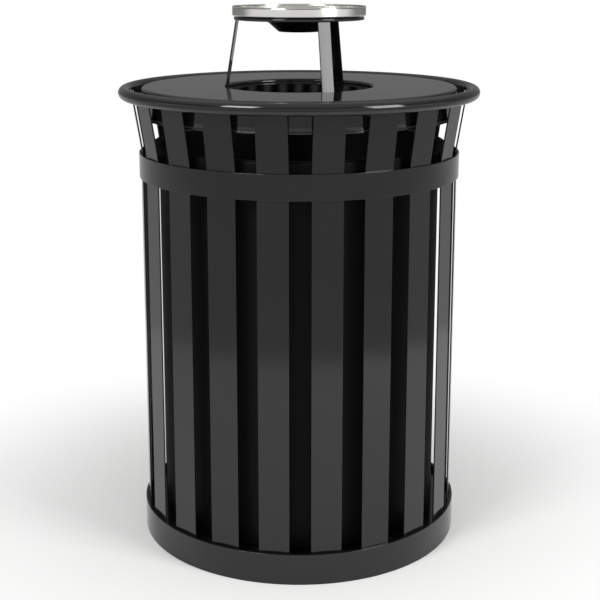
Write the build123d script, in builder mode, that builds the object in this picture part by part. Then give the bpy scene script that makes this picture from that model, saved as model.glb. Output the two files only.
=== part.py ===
from build123d import *
import math
import os

# Round outdoor trash can of black powder-coated steel flats, with a loose lid, an ash pan and a liner.
# Millimetres, +Z up. The origin is on the floor, at the centre of the base. The front faces -Y.

# Whole can
ring_diameter = 711  # outside of the top ring, 28 inches
ring_z = 895  # height of the middle of the ring's bar
ring_bar_diameter = 24
hoop_inner_r = 313.8  # both hoops clasp the slats at this radius
edge_round = 0.8  # the rolled flats have slightly rounded edges

# Slats
slat_count = 20
slat_width = 58
slat_thickness = 3
first_slat_angle = 9.4  # degrees from the front towards the right
slat_bottom_z = 2
slat_top_z = 900
flare_start_z = 783
flare_angle = 9.1  # degrees outwards from the vertical
flare_bend_r = 60
slat_seat = 0.25  # depth to which the slat's long edges sit in the hoops

# Hoops
base_band_height = 60
base_band_thickness = 6.5
middle_band_low_z = 730
middle_band_height = 48
middle_band_thickness = 3.5

# Bottom plate
plate_top_z = 48
plate_thickness = 3
plate_reach = 1.8  # distance that the plate passes the slats' inner faces
drain_hole_r = 6
drain_circle_r = 200
drain_count = 6
centre_hole_r = 10

# Lid
sheet = 2
lid_top_z = 905
lid_r = 311
lid_edge_r = 5
skirt_bottom_z = 847.2
hem_r = 2.8
collar_r = 147  # middle of the collar's sheet
collar_depth = 9.5
collar_bend_r = 4
collar_bead_r = 1.6

# Lid supports
support_width = 40
support_thickness = 3
support_foot_z = 805
support_inner_r = 298
support_slats = (2, 7, 12, 17)  # the slats that carry a support, counted from zero
rest_gap = 0.3  # play between pieces that lift off each other

# Ash holder and its legs
leg_angles = {"front": -68, "rear": 56, "left": 172}  # degrees from +X, seen from above
leg_width = 25
leg_thickness = 3
leg_foot_z = 876
leg_bend_z = 902
leg_top_r = 122
leg_bend_r = 10
leg_bite = 0.2  # the foot is pressed this far into the collar's curve before it is shaped to it
holder_r = 127.7
holder_top_z = 1040
holder_edge_z = 1034
holder_edge_round = 2
recess_top_r = 72.5
recess_flat_r = 40
recess_depth = 28
recess_round = 4

# Ash pan
pan_sheet = 1.2
pan_r = 130.6
pan_top_z = 1060
pan_rest_z = 1041
pan_corner_round = 2.5
pan_well_r = 71
pan_well_flat_r = 38.8
pan_well_z = 1013.2
pan_bead_r = 1.4

# Liner
liner_wall = 3
liner_foot_r = 276
liner_r = 277
liner_top_z = 796
liner_corner_r = 6
liner_rim_r = 292
liner_rim_bottom_z = 762
liner_rim_round = 4
grip_angles = (-33, 147)
grip_length = 100
grip_height = 24
grip_z = 782
grip_ridge_width = 2.4
grip_ridge_depth = 1.8

# Worked out from the sizes above
bar_r = ring_bar_diameter / 2
ring_r = ring_diameter / 2 - bar_r
slat_face_r = math.sqrt(hoop_inner_r**2 - (slat_width / 2) ** 2) + slat_seat
slat_middle_r = slat_face_r - slat_thickness / 2
flare_slope = math.tan(math.radians(flare_angle))
slat_inner_r = slat_face_r - slat_thickness
flare_inner_r = slat_face_r - slat_thickness / math.cos(math.radians(flare_angle))
sheet_half = sheet / 2
front = -90  # direction of the front, degrees from +X
slat_angles = [front + first_slat_angle + 360 / slat_count * i for i in range(slat_count)]
leg_foot_r = collar_r - sheet_half + leg_bite - leg_thickness / 2

os.makedirs("parts", exist_ok=True)


def finish(builder, name):
    """Labels a finished piece and writes it."""
    builder.part.label = name
    export_step(builder.part, f"parts/{name}.step")


# Base band: a wide rolled flat that the can stands on
with BuildPart() as base_band:
    with BuildSketch():
        Circle(hoop_inner_r + base_band_thickness)
        Circle(hoop_inner_r, mode=Mode.SUBTRACT)
    extrude(amount=base_band_height)
    fillet(base_band.edges().filter_by(GeomType.CIRCLE), edge_round)
finish(base_band, "base_band")

# Middle band: a rolled flat where the slats start to flare
with BuildPart() as middle_band:
    with BuildSketch(Plane.XY.offset(middle_band_low_z)):
        Circle(hoop_inner_r + middle_band_thickness)
        Circle(hoop_inner_r, mode=Mode.SUBTRACT)
    extrude(amount=middle_band_height)
    fillet(middle_band.edges().filter_by(GeomType.CIRCLE), edge_round)
finish(middle_band, "middle_band")

# Top ring: a round bar rolled to a closed ring
with BuildPart() as top_ring:
    with BuildSketch(Plane.XZ):
        with Locations((ring_r, ring_z)):
            Circle(bar_r)
    revolve(axis=Axis.Z)
finish(top_ring, "top_ring")

# One slat at angle 0: a flat bar, bent outwards above the middle band and shaped to what it is welded to
with BuildPart() as slat_blank:
    with BuildSketch(Plane.XZ):
        with BuildLine():
            FilletPolyline(
                (slat_middle_r, slat_bottom_z),
                (slat_middle_r, flare_start_z),
                (slat_middle_r + (slat_top_z - flare_start_z) * flare_slope, slat_top_z),
                radius=flare_bend_r,
            )
        trace(line_width=slat_thickness)
    extrude(amount=slat_width / 2, both=True)
    add(base_band.part, mode=Mode.SUBTRACT)
    add(middle_band.part, mode=Mode.SUBTRACT)
    add(top_ring.part, mode=Mode.SUBTRACT)

slats = []
for number, angle in enumerate(slat_angles, start=1):
    with BuildPart() as slat:
        add(slat_blank.part, rotation=(0, 0, angle))
    finish(slat, f"slat_{number:02d}")
    slats.append(slat.part)

# Bottom plate: carries the liner, notched round the slats that it is welded to, with drain holes
with BuildPart() as bottom_plate:
    with BuildSketch(Plane.XY.offset(plate_top_z - plate_thickness)):
        Circle(slat_inner_r + plate_reach)
        Circle(centre_hole_r, mode=Mode.SUBTRACT)
        with PolarLocations(drain_circle_r, drain_count):
            Circle(drain_hole_r, mode=Mode.SUBTRACT)
    extrude(amount=plate_thickness)
    add(slats, mode=Mode.SUBTRACT)
finish(bottom_plate, "bottom_plate")

# Lid supports: four bent clips on the inner faces of slats, under the lid's skirt
support_top_z = skirt_bottom_z - rest_gap
support_line_z = support_top_z - support_thickness / 2
support_back_r = flare_inner_r - support_thickness / 2 / math.cos(math.radians(flare_angle))
for number, slat_index in enumerate(support_slats, start=1):
    with BuildPart() as lid_support:
        with BuildSketch(Plane.XZ.rotated((0, 0, slat_angles[slat_index]))):
            with BuildLine():
                FilletPolyline(
                    (support_back_r + (support_foot_z - flare_start_z) * flare_slope, support_foot_z),
                    (support_back_r + (support_line_z - flare_start_z) * flare_slope, support_line_z),
                    (support_inner_r, support_line_z),
                    radius=4,
                )
            trace(line_width=support_thickness)
        extrude(amount=support_width / 2, both=True)
    finish(lid_support, f"lid_support_{number}")

# Lid: a pressed disc with a rolled-down opening and a hemmed skirt
with BuildPart() as lid:
    with BuildSketch(Plane.XZ):
        with BuildLine():
            FilletPolyline(
                (collar_r, lid_top_z - sheet_half - collar_depth),
                (collar_r, lid_top_z - sheet_half),
                (lid_r - sheet_half, lid_top_z - sheet_half),
                (lid_r - sheet_half, skirt_bottom_z + hem_r),
                radius=[collar_bend_r, lid_edge_r],
            )
        trace(line_width=sheet)
        with Locations((lid_r, skirt_bottom_z + hem_r)):
            Circle(hem_r)
        with Locations((collar_r, lid_top_z - sheet_half - collar_depth)):
            Circle(collar_bead_r)
    revolve(axis=Axis.Z)
finish(lid, "lid")

# Ash holder: a spun dish with a turned-down edge and a conical recess
holder_line_z = holder_top_z - sheet_half
with BuildPart() as ash_holder:
    with BuildSketch(Plane.XZ):
        with BuildLine():
            FilletPolyline(
                (holder_r - sheet_half, holder_edge_z),
                (holder_r - sheet_half, holder_line_z),
                (recess_top_r, holder_line_z),
                (recess_flat_r, holder_line_z - recess_depth),
                (0, holder_line_z - recess_depth),
                radius=[holder_edge_round, recess_round, recess_round],
            )
        trace(line_width=sheet)
    revolve(axis=Axis.Z)
finish(ash_holder, "ash_holder")

# Legs: bent flats from the lid's collar up to the underside of the ash holder
for name, angle in leg_angles.items():
    with BuildPart() as leg:
        with BuildSketch(Plane.XZ.rotated((0, 0, angle))):
            with BuildLine():
                FilletPolyline(
                    (leg_foot_r, leg_foot_z),
                    (leg_foot_r, leg_bend_z),
                    (leg_top_r, holder_top_z),
                    radius=leg_bend_r,
                )
            trace(line_width=leg_thickness)
        extrude(amount=leg_width / 2, both=True)
        split(bisect_by=Plane.XY.offset(holder_top_z - sheet), keep=Keep.BOTTOM)
        add(lid.part, mode=Mode.SUBTRACT)
    finish(leg, f"ash_leg_{name}")

# Ash pan: a spun stainless bowl that drops into the holder's recess
with BuildPart() as ash_pan:
    with BuildSketch(Plane.XZ):
        with BuildLine():
            FilletPolyline(
                (pan_r - pan_sheet / 2, pan_top_z - pan_bead_r),
                (pan_r - pan_sheet / 2, pan_rest_z),
                (pan_well_r, pan_rest_z),
                (pan_well_flat_r, pan_well_z),
                (0, pan_well_z),
                radius=[pan_corner_round, recess_round, recess_round],
            )
        trace(line_width=pan_sheet)
        with Locations((pan_r - pan_bead_r, pan_top_z - pan_bead_r)):
            Circle(pan_bead_r)
    revolve(axis=Axis.Z)
finish(ash_pan, "ash_pan")

# Ridges that mark the two grips on the liner's rim, wrapped round it
rim_line_r = liner_rim_r - liner_wall / 2
with BuildPart() as grip_ridges:
    for angle in grip_angles:
        with BuildSketch(Plane.YZ.rotated((0, 0, angle)).shift_origin((0, 0, grip_z))):
            SlotOverall(grip_length, grip_height)
            SlotOverall(
                grip_length - 2 * grip_ridge_width,
                grip_height - 2 * grip_ridge_width,
                mode=Mode.SUBTRACT,
            )
        extrude(amount=ring_r)
    with BuildSketch(Plane.XY.offset(liner_rim_bottom_z)):
        Circle(liner_rim_r + grip_ridge_depth)
        Circle(rim_line_r, mode=Mode.SUBTRACT)
    extrude(amount=liner_top_z - liner_rim_bottom_z, mode=Mode.INTERSECT)

# Liner: a moulded plastic bucket with a turned-over rim
liner_floor_z = plate_top_z + rest_gap + liner_wall / 2
with BuildPart() as liner:
    with BuildSketch(Plane.XZ):
        with BuildLine():
            FilletPolyline(
                (0, liner_floor_z),
                (liner_foot_r - liner_wall / 2, liner_floor_z),
                (liner_r - liner_wall / 2, liner_top_z - liner_wall / 2),
                (rim_line_r, liner_top_z - liner_wall / 2),
                (rim_line_r, liner_rim_bottom_z),
                radius=[liner_corner_r, liner_rim_round, liner_rim_round],
            )
        trace(line_width=liner_wall)
    revolve(axis=Axis.Z)
    add(grip_ridges.part)
finish(liner, "liner")
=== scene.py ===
import math

import bmesh
import bpy
from bpy.props import FloatProperty, IntProperty, PointerProperty, StringProperty
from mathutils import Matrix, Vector


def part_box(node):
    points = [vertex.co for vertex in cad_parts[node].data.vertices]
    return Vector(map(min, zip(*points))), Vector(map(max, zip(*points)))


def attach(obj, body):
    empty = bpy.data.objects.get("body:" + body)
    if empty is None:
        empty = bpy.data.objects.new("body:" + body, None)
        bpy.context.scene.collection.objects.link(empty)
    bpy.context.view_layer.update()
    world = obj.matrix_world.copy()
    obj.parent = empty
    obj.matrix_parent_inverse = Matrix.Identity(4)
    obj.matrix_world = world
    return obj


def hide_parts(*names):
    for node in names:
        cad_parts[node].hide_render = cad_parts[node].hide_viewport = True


bl_info = {
    "name": "Slatted outdoor trash can",
    "version": (1, 0, 0),
    "blender": (4, 5, 0),
    "location": "3D View > Sidebar > Trash can",
    "description": "Dresses a round slatted steel trash can with an ash pan, part by part",
    "category": "Object",
}

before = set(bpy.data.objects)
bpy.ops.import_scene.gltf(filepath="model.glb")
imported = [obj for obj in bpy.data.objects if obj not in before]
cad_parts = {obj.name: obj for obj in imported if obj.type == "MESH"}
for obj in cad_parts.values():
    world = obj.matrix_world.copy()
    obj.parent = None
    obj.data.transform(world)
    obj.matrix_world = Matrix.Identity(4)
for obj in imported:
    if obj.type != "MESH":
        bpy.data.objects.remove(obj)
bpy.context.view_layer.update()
RING_LOW, RING_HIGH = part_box("top_ring")
BAND_LOW, BAND_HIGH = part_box("middle_band")
BASE_LOW, BASE_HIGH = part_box("base_band")

POWDER = "black_powder_coat"
STAINLESS = "brushed_stainless"
PLASTIC = "black_plastic"

# Fixed places, in metres and radians from +X
SLAT_FOOT = 0.002
SLAT_BEND = BAND_HIGH.z + 0.005  # where the slats start to flare, just above the middle band
SLAT_TOP = 0.9
FLARE = math.tan(math.radians(9.1))  # outward slope of a slat above its bend
OPENING = 0.147  # radius of the sheet's middle in the lid's rolled-down opening
HOLDER_TOP = 1.04
JOINT = math.radians(81)  # welded joint of the bands and the ring, at the back
LEGS = (("front", math.radians(-68)), ("rear", math.radians(56)), ("left", math.radians(172)))
GRIPS = (math.radians(-33), math.radians(147))

BEAD = 0.0016  # radius of a weld bead on thin sheet
SHARP = math.radians(50)  # edges that bend more than this stay crisp or are rounded
ON_AXIS = 1e-6  # a point nearer to the can's axis than this lies on it


# Sizes and colours that a user would change


class TrashCanSizes(bpy.types.PropertyGroup):
    ring_reach: FloatProperty(
        name="Ring reach",
        description="Outer radius of the top ring",
        default=RING_HIGH.x,
        unit="LENGTH",
    )
    ring_bar: FloatProperty(
        name="Ring bar",
        description="Diameter of the round bar of the top ring",
        default=RING_HIGH.z - RING_LOW.z,
        unit="LENGTH",
    )
    hoop_inside: FloatProperty(
        name="Hoop inside",
        description="Inner radius of both bands",
        default=0.3138,
        unit="LENGTH",
    )
    slat_width: FloatProperty(
        name="Slat width",
        description="Width of each flat bar",
        default=0.058,
        unit="LENGTH",
    )
    slat_thickness: FloatProperty(
        name="Slat thickness",
        description="Thickness of each flat bar",
        default=0.003,
        unit="LENGTH",
    )
    slat_count: IntProperty(
        name="Slats",
        description="Number of flat bars round the can",
        default=20,
        min=3,
    )
    first_slat: FloatProperty(
        name="First slat",
        description="Direction of the first slat, from +X",
        default=math.radians(-80.6),
        subtype="ANGLE",
    )
    edge_round: FloatProperty(
        name="Edge rounding",
        description="Rounding of the rolled bars' long edges",
        default=0.0008,
        unit="LENGTH",
    )
    sheet: FloatProperty(
        name="Sheet",
        description="Thickness of the lid's and the holder's sheet",
        default=0.002,
        unit="LENGTH",
    )
    lid_top: FloatProperty(
        name="Lid top",
        description="Height of the lid's flat top",
        default=0.905,
        unit="LENGTH",
    )
    lid_reach: FloatProperty(
        name="Lid reach",
        description="Outer radius of the lid's skirt",
        default=0.311,
        unit="LENGTH",
    )
    turn_steps: IntProperty(
        name="Turn steps",
        description="Facets round each band",
        default=160,
        min=24,
    )


class TrashCanColours(bpy.types.PropertyGroup):
    coat: StringProperty(
        name="Powder coat",
        description="Black of the powder coat, as sRGB hex",
        default="#101011",
    )
    coat_worn: StringProperty(
        name="Powder coat, thin",
        description="The same coat where it lies thinner",
        default="#161617",
    )
    steel: StringProperty(
        name="Stainless",
        description="Brushed stainless steel, as sRGB hex",
        default="#e4e3e0",
    )
    plastic: StringProperty(
        name="Liner",
        description="Black polyethylene, as sRGB hex",
        default="#0a0a0b",
    )
    floor: StringProperty(
        name="Floor",
        description="Pale studio floor, as sRGB hex",
        default="#f8f8f7",
    )


# Materials


def linear(code):
    """Turns an sRGB hex colour into linear RGBA."""
    values = [int(code[i : i + 2], 16) / 255 for i in (1, 3, 5)]
    return [v / 12.92 if v <= 0.04045 else ((v + 0.055) / 1.055) ** 2.4 for v in values] + [1.0]


def add(tree, kind, settings=None, links=None):
    """Adds a node with its settings, and links its inputs to sockets or to nodes' first outputs."""
    node = tree.nodes.new(kind)
    for key, value in (settings or {}).items():
        if isinstance(key, int) or key in node.inputs:
            node.inputs[key].default_value = value
        else:
            setattr(node, key, value)
    for key, source in (links or {}).items():
        socket = source.outputs[0] if isinstance(source, bpy.types.Node) else source
        tree.links.new(socket, node.inputs[key])
    return node


def material(name):
    """An empty node material of that name, or the finished one if it is there."""
    found = bpy.data.materials.get(name)
    if found:
        return found, None
    made = bpy.data.materials.new(name)
    made.use_nodes = True
    made.node_tree.nodes.clear()
    return made, made.node_tree


def powder_coat():
    """Polyester powder coat on mild steel, sprayed and baked: black and glossy, a faint orange peel."""
    made, tree = material("black polyester powder coat")
    if tree is None:
        return made
    colours = bpy.context.scene.can_colours
    place = add(tree, "ShaderNodeTexCoord").outputs["Object"]
    # orange peel is about 1.5 mm across, drawn at 5 mm so that it shows
    peel = add(tree, "ShaderNodeTexNoise", {"Scale": 200.0, "Detail": 2.0}, {"Vector": place})
    # the coat's thickness drifts over about 120 mm
    drift = add(tree, "ShaderNodeTexNoise", {"Scale": 8.0, "Detail": 3.0}, {"Vector": place})
    shades = {6: linear(colours.coat), 7: linear(colours.coat_worn)}
    black = add(tree, "ShaderNodeMix", {"data_type": "RGBA", **shades}, {0: drift})
    gloss = add(tree, "ShaderNodeMapRange", {"To Min": 0.07, "To Max": 0.12}, {"Value": drift})
    bump = add(tree, "ShaderNodeBump", {"Strength": 0.02, "Distance": 0.0003}, {"Height": peel})
    skin = add(
        tree,
        "ShaderNodeBsdfPrincipled",
        {"IOR": 1.5},
        {"Base Color": black.outputs[2], "Roughness": gloss, "Normal": bump},
    )
    add(tree, "ShaderNodeOutputMaterial", {}, {"Surface": skin})
    return made


def spun_stainless():
    """Stainless sheet, spun on a lathe and brushed: bright, with fine rings round the axis."""
    made, tree = material("spun and brushed stainless steel")
    if tree is None:
        return made
    colours = bpy.context.scene.can_colours
    place = add(tree, "ShaderNodeTexCoord").outputs["Object"]
    x, y, z = add(tree, "ShaderNodeSeparateXYZ", {}, {0: place}).outputs
    across = add(tree, "ShaderNodeCombineXYZ", {}, {"X": x, "Y": y})
    reach = add(tree, "ShaderNodeVectorMath", {"operation": "LENGTH"}, {0: across}).outputs["Value"]
    rings = add(tree, "ShaderNodeCombineXYZ", {}, {"X": reach, "Z": z})
    # brushing lines are 0.2 mm apart, drawn at 1.5 mm so that they show
    lines = add(tree, "ShaderNodeTexNoise", {"Scale": 650.0, "Detail": 3.0}, {"Vector": rings})
    cloud = add(tree, "ShaderNodeTexNoise", {"Scale": 30.0, "Detail": 2.0}, {"Vector": place})
    rough = add(tree, "ShaderNodeMapRange", {"To Min": 0.14, "To Max": 0.26}, {"Value": lines})
    shades = {6: linear(colours.steel), 7: linear("#d6d5d1")}
    grey = add(tree, "ShaderNodeMix", {"data_type": "RGBA", **shades}, {0: cloud})
    bump = add(tree, "ShaderNodeBump", {"Strength": 0.1, "Distance": 0.0002}, {"Height": lines})
    skin = add(
        tree,
        "ShaderNodeBsdfPrincipled",
        {"Metallic": 1.0},
        {"Base Color": grey.outputs[2], "Roughness": rough, "Normal": bump},
    )
    add(tree, "ShaderNodeOutputMaterial", {}, {"Surface": skin})
    return made


def moulded_plastic():
    """Black polyethylene, injection moulded: dull and even, with a fine grain."""
    made, tree = material("moulded black polyethylene")
    if tree is None:
        return made
    colours = bpy.context.scene.can_colours
    place = add(tree, "ShaderNodeTexCoord").outputs["Object"]
    # mould grain is about 0.8 mm, drawn at 3 mm so that it shows
    grain = add(tree, "ShaderNodeTexNoise", {"Scale": 330.0, "Detail": 2.0}, {"Vector": place})
    scuff = add(tree, "ShaderNodeTexNoise", {"Scale": 14.0, "Detail": 4.0}, {"Vector": place})
    rough = add(tree, "ShaderNodeMapRange", {"To Min": 0.5, "To Max": 0.66}, {"Value": scuff})
    shades = {6: linear(colours.plastic), 7: linear("#0f0f10")}
    black = add(tree, "ShaderNodeMix", {"data_type": "RGBA", **shades}, {0: scuff})
    bump = add(tree, "ShaderNodeBump", {"Strength": 0.15, "Distance": 0.0003}, {"Height": grain})
    skin = add(
        tree,
        "ShaderNodeBsdfPrincipled",
        {"IOR": 1.5, "Specular IOR Level": 0.12},
        {"Base Color": black.outputs[2], "Roughness": rough, "Normal": bump},
    )
    add(tree, "ShaderNodeOutputMaterial", {}, {"Surface": skin})
    return made


# Outlines


def rounded(corners, radii, pieces=8):
    """Points of a line through corners, with an arc in place of each inner corner."""
    corners = [Vector(c) for c in corners]
    points = [corners[0]]
    for before, corner, after, radius in zip(corners, corners[1:], corners[2:], radii):
        back = (before - corner).normalized()
        on = (after - corner).normalized()
        bend = math.pi - back.angle(on)
        if not radius or bend < 0.01:
            points.append(corner)
            continue
        reach = radius * math.tan(bend / 2)
        centre = corner + (back + on).normalized() * radius / math.cos(bend / 2)
        first = corner + back * reach - centre
        last = corner + on * reach - centre
        for step in range(pieces + 1):
            share = step / pieces
            arm = first * math.sin((1 - share) * bend) + last * math.sin(share * bend)
            points.append(centre + arm / math.sin(bend))
    points.append(corners[-1])
    return points


def edge_arc(end, way, side, half, radius):
    """Arc of a rounded edge at the end of a sheet, or of a rolled one, which is thicker and finer."""
    start = math.pi - math.asin(min(1.0, half / radius))
    steps = 6 if radius <= half else 16
    angles = [start - 2 * start * i / steps for i in range(steps + 1)]
    return [end + way * radius * math.cos(a) + side * radius * math.sin(a) for a in angles]


def sheet_outline(line, thickness, beads=(None, None)):
    """Outline of a sheet along a line, with an arc at each end; an end on the axis is left open."""
    half = thickness / 2
    ways = [(b - a).normalized() for a, b in zip(line, line[1:])]
    sides = []
    for i in range(len(line)):
        onward = ways[min(i, len(ways) - 1)]
        way = (ways[max(0, i - 1)] + onward).normalized()
        mitre = max(0.3, way.dot(onward))
        sides.append(Vector((-way.y, way.x)) * half / mitre)
    left = [p + s for p, s in zip(line, sides)]
    right = [p - s for p, s in zip(line, sides)]
    ends = []
    for end, way, radius in ((line[0], -ways[0], beads[0]), (line[-1], ways[-1], beads[1])):
        radius = radius or half
        if abs(end.x) < ON_AXIS:
            ends.append([])
            continue
        ends.append(edge_arc(end, way, Vector((-way.y, way.x)), half, radius))
        # the sheet's own points inside the arc give way to it
        left = [p for p in left if (p - end).length > radius + 1e-5]
        right = [p for p in right if (p - end).length > radius + 1e-5]
    return left + ends[1] + right[::-1] + ends[0]


# Shaping


def primitive(operator, name, **size):
    """Adds a primitive by itself, names it and opens it in edit mode."""
    bpy.ops.object.select_all(action="DESELECT")
    operator(**size)
    piece = bpy.context.object
    piece.name = piece.data.name = name
    bpy.ops.object.mode_set(mode="EDIT")
    return piece


def pick(piece, wanted):
    """Selects the vertices that pass a test, in edit mode."""
    mesh = bmesh.from_edit_mesh(piece.data)
    for vert in mesh.verts:
        vert.select = wanted(vert)
    mesh.select_flush(False)
    bmesh.update_edit_mesh(piece.data)


def revolve(angle, axis="Z"):
    """Turns what is selected round an axis through the origin; with no window, the other way."""
    bpy.ops.transform.rotate(value=angle, orient_axis=axis, center_override=(0, 0, 0))


def draw(name, points, closed=True):
    """Draws a line through points in the XZ plane, vertex by vertex, and stays in edit mode."""
    piece = primitive(bpy.ops.mesh.primitive_circle_add, name, vertices=3, radius=0.001)
    bpy.ops.mesh.select_all(action="SELECT")
    bpy.ops.mesh.merge(type="CENTER")
    bpy.ops.transform.translate(value=(points[0].x, 0, points[0].y))
    for a, b in zip(points, points[1:]):
        step = (b.x - a.x, 0, b.y - a.y)
        bpy.ops.mesh.extrude_region_move(TRANSFORM_OT_translate={"value": step})
    if closed:
        pick(piece, lambda vert: len(vert.link_edges) < 2)
        bpy.ops.mesh.edge_face_add()
    return piece


def turn(piece, steps):
    """Spins what is drawn round the can's axis, closes the seam and points the faces outwards."""
    bpy.ops.mesh.select_all(action="SELECT")
    bpy.ops.mesh.spin(steps=steps, angle=2 * math.pi, center=(0, 0, 0), axis=(0, 0, 1))
    bpy.ops.mesh.select_all(action="SELECT")
    bpy.ops.mesh.remove_doubles(threshold=1e-6)
    bpy.ops.mesh.normals_make_consistent(inside=False)
    bpy.ops.object.mode_set(mode="OBJECT")
    even(piece)
    return piece


def turned(name, corners, radii, thickness, steps, beads=(None, None)):
    """A sheet turned round the can's axis."""
    line = rounded(corners, radii)
    outline = sheet_outline(line, thickness, beads)
    return turn(draw(name, outline, closed=min(p.x for p in line) > ON_AXIS), steps)


def bent_bar(name, corners, radii, width, thickness, edge):
    """A flat bar bent along a line at direction +X, with rounded edges."""
    line = rounded(corners, radii)
    outline = []
    for run in (line, line[::-1]):
        ways = [(b - a).normalized() for a, b in zip(run, run[1:])]
        for i, p in enumerate(run):
            on = (ways[max(0, i - 1)] + ways[min(i, len(ways) - 1)]).normalized()
            outline.append(p + Vector((-on.y, on.x)) * thickness / 2)
    piece = draw(name, outline)
    bpy.ops.mesh.select_all(action="SELECT")
    bpy.ops.mesh.edge_face_add()
    bpy.ops.transform.translate(value=(0, -width / 2, 0))
    bpy.ops.mesh.extrude_region_move(TRANSFORM_OT_translate={"value": (0, width, 0)})
    bpy.ops.mesh.select_all(action="SELECT")
    bpy.ops.mesh.normals_make_consistent(inside=False)
    bpy.ops.object.mode_set(mode="OBJECT")
    soften(piece, edge)
    return piece


def weld_bead(name, length, radius, spot):
    """A weld bead that lies across direction +X at a spot, with the ripple of a hand weld."""
    ball = bpy.ops.mesh.primitive_uv_sphere_add
    piece = primitive(ball, name, segments=8, ring_count=14, radius=radius)
    levels = sorted({round(v.co.z, 6) for v in bmesh.from_edit_mesh(piece.data).verts})
    pick(piece, lambda vert: levels.index(round(vert.co.z, 6)) % 2 == 0)
    bpy.ops.transform.resize(value=(0.86, 0.86, 1))
    bpy.ops.mesh.select_all(action="SELECT")
    bpy.ops.transform.resize(value=(1, 1, length / 2 / radius))
    revolve(math.pi / 2, "X")
    bpy.ops.transform.translate(value=spot)
    bpy.ops.object.mode_set(mode="OBJECT")
    bpy.ops.object.shade_smooth()
    return piece


def soften(piece, width):
    """Rounds a piece's sharp edges."""
    bevel = piece.modifiers.new("Rounded edges", "BEVEL")
    bevel.width = width
    bevel.segments = 2
    bevel.limit_method = "ANGLE"
    bevel.angle_limit = SHARP
    bpy.ops.object.modifier_apply(modifier=bevel.name)
    even(piece)


def even(piece):
    """Shades a piece smooth, with its large faces kept flat."""
    bpy.ops.object.shade_smooth_by_angle(angle=SHARP)
    flats = piece.modifiers.new("Flat faces", "WEIGHTED_NORMAL")
    flats.weight = 100
    flats.keep_sharp = True
    bpy.ops.object.modifier_apply(modifier=flats.name)


# Placing


def copy_at(piece, name, angle):
    """A copy of a piece with a mesh of its own, swung round the can's axis."""
    bpy.ops.object.select_all(action="DESELECT")
    piece.select_set(True)
    bpy.context.view_layer.objects.active = piece
    bpy.ops.object.duplicate()
    made = bpy.context.object
    made.name = made.data.name = name
    swing(angle)
    return made


def swing(angle):
    """Turns the active piece's mesh round the can's axis."""
    bpy.ops.object.mode_set(mode="EDIT")
    bpy.ops.mesh.select_all(action="SELECT")
    revolve(-angle)
    bpy.ops.object.mode_set(mode="OBJECT")


def settle(piece, body, finish, slot, *nodes):
    """Gives a finished piece its material and body, and hides the CAD nodes that it stands for."""
    piece.data.materials.clear()
    piece.data.materials.append(finish)
    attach(piece, body)
    if nodes:
        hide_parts(*nodes)


def drop(piece):
    """Takes away a pattern piece after its copies are made."""
    bpy.ops.object.select_all(action="DESELECT")
    piece.select_set(True)
    bpy.ops.object.delete()


def slat_directions():
    """Number and direction from +X of each slat."""
    sizes = bpy.context.scene.can_sizes
    pitch = 2 * math.pi / sizes.slat_count
    return [(i + 1, sizes.first_slat + pitch * i) for i in range(sizes.slat_count)]


def slat_middle():
    """Radius of the middle of a slat's thickness, below the flare."""
    sizes = bpy.context.scene.can_sizes
    chord = math.sqrt(sizes.hoop_inside**2 - (sizes.slat_width / 2) ** 2)
    seat = 0.00025  # depth to which the slat's long edges sit in the hoops
    return chord + seat - sizes.slat_thickness / 2


# Pieces


class CAN_OT_slats(bpy.types.Operator):
    """Bends one slat out of flat bar and sets a copy of it in each place"""

    bl_idname = "can.slats"
    bl_label = "Slats"

    def execute(self, context):
        sizes = context.scene.can_sizes
        middle = slat_middle()
        head = middle + (SLAT_TOP - SLAT_BEND) * FLARE
        corners = [(middle, SLAT_FOOT), (middle, SLAT_BEND), (head, SLAT_TOP)]
        width, thickness, edge = sizes.slat_width, sizes.slat_thickness, sizes.edge_round
        pattern = bent_bar("slat_pattern", corners, [0.06], width, thickness, edge)
        for number, angle in slat_directions():
            slat = copy_at(pattern, f"flat_bar_slat_{number:02d}", angle)
            settle(slat, "frame", powder_coat(), POWDER, f"slat_{number:02d}")
        drop(pattern)
        return {"FINISHED"}


class CAN_OT_bands(bpy.types.Operator):
    """Rolls the base band and the middle band, each with a welded joint at the back"""

    bl_idname = "can.bands"
    bl_label = "Bands"

    def execute(self, context):
        sizes = context.scene.can_sizes
        for name, low, high in (
            ("base_band", BASE_LOW, BASE_HIGH),
            ("middle_band", BAND_LOW, BAND_HIGH),
        ):
            half = (high.x - sizes.hoop_inside) / 2
            radius = sizes.hoop_inside + half
            corners = [
                (radius, low.z),
                (radius + half, low.z),
                (radius + half, high.z),
                (radius - half, high.z),
                (radius - half, low.z),
                (radius, low.z),
            ]
            # the last point is the first one again
            outline = rounded(corners, [sizes.edge_round] * 4, pieces=4)[:-1]
            band = turn(draw(f"rolled_{name}", outline), sizes.turn_steps)
            settle(band, "frame", powder_coat(), POWDER, name)
            self.joint(f"{name}_joint", low.z, high)
        return {"FINISHED"}

    def joint(self, name, foot, high):
        """An upright weld bead on the outside of a band, short of its edges."""
        seam = weld_bead(name, high.z - foot - 0.004, BEAD, (0, 0, 0))
        bpy.ops.object.mode_set(mode="EDIT")
        revolve(math.pi / 2, "X")
        bpy.ops.transform.translate(value=(high.x - 0.0014, 0, (foot + high.z) / 2))
        bpy.ops.object.mode_set(mode="OBJECT")
        swing(JOINT)
        settle(seam, "frame", powder_coat(), POWDER)


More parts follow.
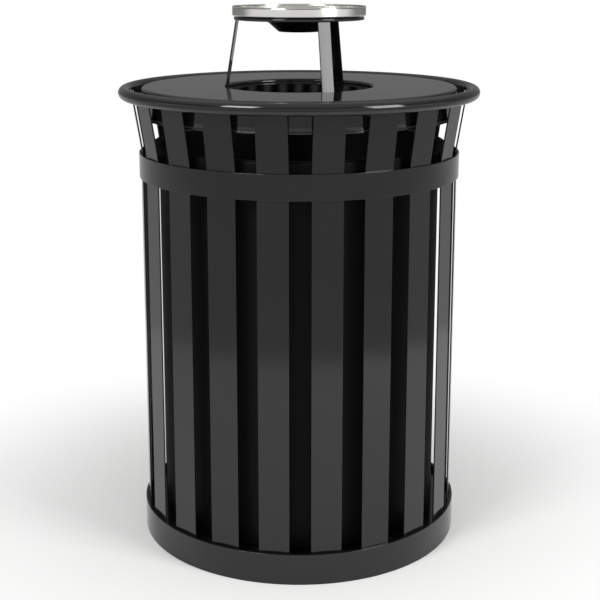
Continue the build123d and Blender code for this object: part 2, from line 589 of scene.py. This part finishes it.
class CAN_OT_ring(bpy.types.Operator):
    """Rolls the round bar of the top ring, with the swell of its welded joint at the back"""

    bl_idname = "can.ring"
    bl_label = "Top ring"

    def execute(self, context):
        sizes = context.scene.can_sizes
        bar = sizes.ring_bar / 2
        swell = 0.0006
        ring = primitive(
            bpy.ops.mesh.primitive_torus_add,
            "rolled_top_ring",
            major_segments=200,
            minor_segments=28,
            major_radius=sizes.ring_reach - bar,
            minor_radius=bar - 0.0002,
        )
        bpy.ops.transform.translate(value=(0, 0, (RING_LOW.z + RING_HIGH.z) / 2))
        # one row of the bar's facets, at the joint
        pick(ring, lambda vert: abs(math.atan2(vert.co.y, vert.co.x) - JOINT) < math.radians(0.6))
        bpy.ops.mesh.bevel(offset=2 * swell, segments=2)
        bpy.ops.transform.shrink_fatten(value=-swell)
        bpy.ops.mesh.select_all(action="SELECT")
        bpy.ops.mesh.normals_make_consistent(inside=False)
        bpy.ops.object.mode_set(mode="OBJECT")
        bpy.ops.object.shade_smooth()
        settle(ring, "frame", powder_coat(), POWDER, "top_ring")
        return {"FINISHED"}


class CAN_OT_lid(bpy.types.Operator):
    """Presses the lid, with its rolled-down opening and hemmed skirt"""

    bl_idname = "can.lid"
    bl_label = "Lid"

    def execute(self, context):
        sizes = context.scene.can_sizes
        half = sizes.sheet / 2
        top = sizes.lid_top - half
        skirt = sizes.lid_reach - half
        corners = [
            (OPENING, top - 0.0095),
            (OPENING, top),
            (skirt, top),
            (skirt, 0.858),
            (sizes.lid_reach, 0.85),
        ]
        hems = (0.0016, 0.0028)  # radii of the rolled edges of the opening and the skirt
        lid = turned("pressed_lid", corners, [0.004, 0.005, 0.02], sizes.sheet, 192, hems)
        settle(lid, "lid", powder_coat(), POWDER, "lid")
        return {"FINISHED"}


class CAN_OT_holder(bpy.types.Operator):
    """Spins the ash holder, with its turned-down edge and the recess for the pan"""

    bl_idname = "can.holder"
    bl_label = "Ash holder"

    def execute(self, context):
        sizes = context.scene.can_sizes
        half = sizes.sheet / 2
        edge, top = 0.1277 - half, HOLDER_TOP - half
        bottom = top - 0.028
        corners = [(edge, 1.0345), (edge, top), (0.0725, top), (0.04, bottom), (0, bottom)]
        holder = turned("spun_ash_holder", corners, [0.002, 0.004, 0.004], sizes.sheet, 128)
        settle(holder, "lid", powder_coat(), POWDER, "ash_holder")
        return {"FINISHED"}


class CAN_OT_legs(bpy.types.Operator):
    """Bends the three legs of the ash holder and welds them in"""

    bl_idname = "can.legs"
    bl_label = "Ash holder legs"

    def execute(self, context):
        width, thickness, bend, top = 0.025, 0.003, 0.902, 1.038
        bite = 0.0002  # how far the foot is pressed into the curve of the lid's opening
        foot = OPENING - context.scene.can_sizes.sheet / 2 + bite - thickness / 2
        slope = (foot - 0.122) / (HOLDER_TOP - bend)
        corners = [(foot, 0.876), (foot, bend), (foot - (top - bend) * slope, top)]
        pattern = bent_bar("leg_pattern", corners, [0.01], width, thickness, 0.0009)
        run = 0.022  # length of a bead across the leg
        low = weld_bead("foot_bead", run, BEAD, (foot + 0.0016, 0, 0.8945))
        high = weld_bead("head_bead", run, BEAD, (foot - 0.135 * slope + 0.0024, 0, 1.0372))
        for name, angle in LEGS:
            leg = copy_at(pattern, f"bent_leg_{name}", angle)
            settle(leg, "lid", powder_coat(), POWDER, f"ash_leg_{name}")
            for tack, place in ((low, "foot"), (high, "head")):
                weld = copy_at(tack, f"leg_{name}_{place}_weld", angle)
                settle(weld, "lid", powder_coat(), POWDER)
        for piece in (pattern, low, high):
            drop(piece)
        return {"FINISHED"}


class CAN_OT_pan(bpy.types.Operator):
    """Spins the stainless ash pan"""

    bl_idname = "can.pan"
    bl_label = "Ash pan"

    def execute(self, context):
        sheet = 0.0012
        reach = 0.1306 - sheet / 2
        ledge, bottom = 1.041, 1.0132
        corners = [
            (reach - 0.0008, 1.0586),
            (reach, 1.0566),
            (reach, ledge),
            (0.071, ledge),
            (0.0388, bottom),
            (0, bottom),
        ]
        radii = [0.002, 0.0025, 0.004, 0.004]
        pan = turned("spun_ash_pan", corners, radii, sheet, 144, (0.0014, None))
        settle(pan, "ash_pan", spun_stainless(), STAINLESS, "ash_pan")
        return {"FINISHED"}


class CAN_OT_liner(bpy.types.Operator):
    """Moulds the liner, with its turned-over rim and the ridge round each grip"""

    bl_idname = "can.liner"
    bl_label = "Liner"

    def execute(self, context):
        wall = 0.003
        half = wall / 2
        floor, top, rim = 0.0483 + half, 0.796 - half, 0.292 - half
        corners = [(0, floor), (0.276 - half, floor), (0.277 - half, top), (rim, top), (rim, 0.7635)]
        liner = turned("moulded_liner", corners, [0.006, 0.004, 0.004], wall, 144)
        settle(liner, "liner", moulded_plastic(), PLASTIC, "liner")
        for number, angle in enumerate(GRIPS, start=1):
            grip = self.ridge(f"grip_ridge_{number}", angle, rim + half, 0.782)
            settle(grip, "liner", moulded_plastic(), PLASTIC)
        return {"FINISHED"}

    def ridge(self, name, angle, reach, height):
        """A rib of round section that runs round a slot on the rim."""
        arm = 0.1308  # half the slot's run, as an angle
        bow = 0.0108  # radius of the slot's round ends
        ring = bpy.ops.mesh.primitive_circle_add
        rib = primitive(ring, name, vertices=8, radius=0.0016)
        bpy.ops.mesh.select_all(action="SELECT")
        revolve(math.pi / 2, "X")
        bpy.ops.transform.translate(value=(reach, 0, height + bow))
        revolve(arm)
        for way in (1, -1):
            # with no window, spin turns the other way
            bpy.ops.mesh.spin(steps=12, angle=-2 * arm * way, center=(0, 0, 0), axis=(0, 0, 1))
            out = Vector((math.cos(arm), math.sin(arm) * way, 0))
            centre = out * reach + Vector((0, 0, height))
            bpy.ops.mesh.spin(steps=10, angle=math.pi, center=centre, axis=out)
        bpy.ops.mesh.select_all(action="SELECT")
        bpy.ops.mesh.remove_doubles(threshold=1e-4)
        bpy.ops.mesh.normals_make_consistent(inside=False)
        bpy.ops.object.mode_set(mode="OBJECT")
        swing(angle)
        bpy.ops.object.shade_smooth()
        return rib


class CAN_OT_welds(bpy.types.Operator):
    """Lays a weld bead where each slat meets the top ring"""

    bl_idname = "can.welds"
    bl_label = "Slat welds"

    def execute(self, context):
        reach = slat_middle() + (SLAT_TOP - SLAT_BEND) * FLARE + 0.0006
        pattern = weld_bead("slat_bead", 0.05, 0.0026, (reach, 0, 0.8998))
        for number, angle in slat_directions():
            weld = copy_at(pattern, f"slat_{number:02d}_weld", angle)
            settle(weld, "frame", powder_coat(), POWDER)
        drop(pattern)
        return {"FINISHED"}


class CAN_OT_plate(bpy.types.Operator):
    """Coats the bottom plate and the lid's supports"""

    bl_idname = "can.plate"
    bl_label = "Bottom plate and lid supports"

    def execute(self, context):
        for name in ["bottom_plate"] + [f"lid_support_{i}" for i in range(1, 5)]:
            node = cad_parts[name]
            node.data.materials.clear()
            node.data.materials.append(powder_coat())
        return {"FINISHED"}


class CAN_OT_stage(bpy.types.Operator):
    """Sets up the pale floor, the soft lights and the camera"""

    bl_idname = "can.stage"
    bl_label = "Studio"

    def execute(self, context):
        self.floor(context)
        self.world(context)
        self.lamp("Key softbox", (-1.4, -1.8, 2.4), 0.9, 0.9, 34)
        self.lamp("Side softbox", (2.1, -1.6, 1.75), 1.0, 1.5, 40)
        self.camera(context)
        context.scene.view_settings.view_transform = "Standard"
        return {"FINISHED"}

    def floor(self, context):
        """A pale floor that fades to white away from the can."""
        bpy.ops.object.select_all(action="DESELECT")
        bpy.ops.mesh.primitive_circle_add(vertices=96, radius=14, fill_type="NGON")
        ground = context.object
        ground.name = ground.data.name = "studio_floor"
        made, tree = material("matt painted studio floor")
        place = add(tree, "ShaderNodeTexCoord").outputs["Object"]
        reach = add(tree, "ShaderNodeVectorMath", {"operation": "LENGTH"}, {0: place}).outputs["Value"]
        rays = add(tree, "ShaderNodeLightPath").outputs
        paint = linear(context.scene.can_colours.floor)
        surface = add(tree, "ShaderNodeBsdfDiffuse", {"Color": paint})
        # the camera sees white beyond the shadow; reflections see a dimmer floor past the paper's edge
        for kind, near, far, level in (
            ("Is Camera Ray", 0.38, 1.1, 1.0),
            ("Is Glossy Ray", 1.55, 1.75, 0.56),
        ):
            span = {"interpolation_type": "SMOOTHSTEP", "From Min": near, "From Max": far}
            fade = add(tree, "ShaderNodeMapRange", span, {"Value": reach})
            share = add(tree, "ShaderNodeMath", {"operation": "MULTIPLY"}, {0: fade, 1: rays[kind]})
            glow = add(tree, "ShaderNodeEmission", {"Strength": level})
            surface = add(tree, "ShaderNodeMixShader", {}, {0: share, 1: surface, 2: glow})
        add(tree, "ShaderNodeOutputMaterial", {}, {"Surface": surface})
        ground.data.materials.append(made)

    def world(self, context):
        """White to the camera; in reflections white paper low in front, a pale ceiling, a dimmer room."""
        sky = bpy.data.worlds.new("White studio")
        context.scene.world = sky
        sky.use_nodes = True
        tree = sky.node_tree
        tree.nodes.clear()
        rays = add(tree, "ShaderNodeLightPath").outputs
        way = add(tree, "ShaderNodeTexCoord").outputs["Generated"]
        _, y, z = add(tree, "ShaderNodeSeparateXYZ", {}, {0: way}).outputs
        front = add(tree, "ShaderNodeMapRange", {"From Min": 0.35, "From Max": -0.05}, {"Value": y})
        low = add(tree, "ShaderNodeMapRange", {"From Min": 0.25, "From Max": 0.08}, {"Value": z})
        paper = add(tree, "ShaderNodeMath", {"operation": "MULTIPLY"}, {0: front, 1: low})
        rise = {"From Min": 0.4, "From Max": 0.8, "To Max": 0.6}
        ceiling = add(tree, "ShaderNodeMapRange", rise, {"Value": z})
        bright = add(tree, "ShaderNodeMath", {"operation": "MAXIMUM"}, {0: paper, 1: ceiling})
        wall = add(tree, "ShaderNodeMapRange", {"To Min": 0.22, "To Max": 1.0}, {"Value": bright})
        # rays that are neither glossy, the camera's nor transmitted meet a plain level of 0.6
        plain = {"data_type": "FLOAT", 2: 0.6}
        soft = add(tree, "ShaderNodeMix", plain, {0: rays["Is Glossy Ray"], 3: wall})
        straight = {0: rays["Is Camera Ray"], 1: rays["Is Transmission Ray"]}
        seen = add(tree, "ShaderNodeMath", {"operation": "MAXIMUM"}, straight)
        strength = add(tree, "ShaderNodeMix", {"data_type": "FLOAT", 3: 1.0}, {0: seen, 2: soft})
        white = {"Color": (1, 1, 1, 1)}
        light = add(tree, "ShaderNodeBackground", white, {"Strength": strength})
        add(tree, "ShaderNodeOutputWorld", {}, {"Surface": light})

    def lamp(self, name, place, wide, tall, power):
        """A rectangular softbox that faces the middle of the can."""
        bpy.ops.object.light_add(type="AREA", location=place)
        lamp = bpy.context.object
        lamp.name = name
        lamp.data.shape = "RECTANGLE"
        lamp.data.size = wide
        lamp.data.size_y = tall
        lamp.data.energy = power
        aim = Vector((0, 0, 0.6)) - Vector(place)
        lamp.rotation_euler = aim.to_track_quat("-Z", "Y").to_euler()

    def camera(self, context):
        """The photograph's station, 2.5 m away and just above the ash pan, looking slightly down."""
        tilt = math.radians(90 - 11.56)
        bpy.ops.object.camera_add(location=(0, -2.5, 1.14), rotation=(tilt, 0, 0))
        view = context.object
        view.name = "Product camera"
        view.data.sensor_width = 36
        view.data.lens = 75.72
        view.data.shift_x = 0.0015
        view.data.shift_y = -0.13
        view.data.clip_end = 200
        context.scene.camera = view


class CAN_PT_panel(bpy.types.Panel):
    """Lists the trash can's pieces in the sidebar"""

    bl_idname = "CAN_PT_panel"
    bl_label = "Trash can"
    bl_space_type = "VIEW_3D"
    bl_region_type = "UI"
    bl_category = "Trash can"

    def draw(self, context):
        for step in STEPS:
            self.layout.operator(step.bl_idname)


STEPS = (
    CAN_OT_slats,
    CAN_OT_bands,
    CAN_OT_ring,
    CAN_OT_lid,
    CAN_OT_holder,
    CAN_OT_legs,
    CAN_OT_pan,
    CAN_OT_liner,
    CAN_OT_welds,
    CAN_OT_plate,
    CAN_OT_stage,
)
CLASSES = (TrashCanSizes, TrashCanColours, *STEPS, CAN_PT_panel)


def register():
    for item in CLASSES:
        bpy.utils.register_class(item)
    bpy.types.Scene.can_sizes = PointerProperty(type=TrashCanSizes)
    bpy.types.Scene.can_colours = PointerProperty(type=TrashCanColours)


def unregister():
    del bpy.types.Scene.can_colours
    del bpy.types.Scene.can_sizes
    for item in reversed(CLASSES):
        bpy.utils.unregister_class(item)


def main():
    """Makes the whole scene."""
    register()
    for step in STEPS:
        group, name = step.bl_idname.split(".")
        getattr(getattr(bpy.ops, group), name)()


if __name__ == "__main__":
    main()
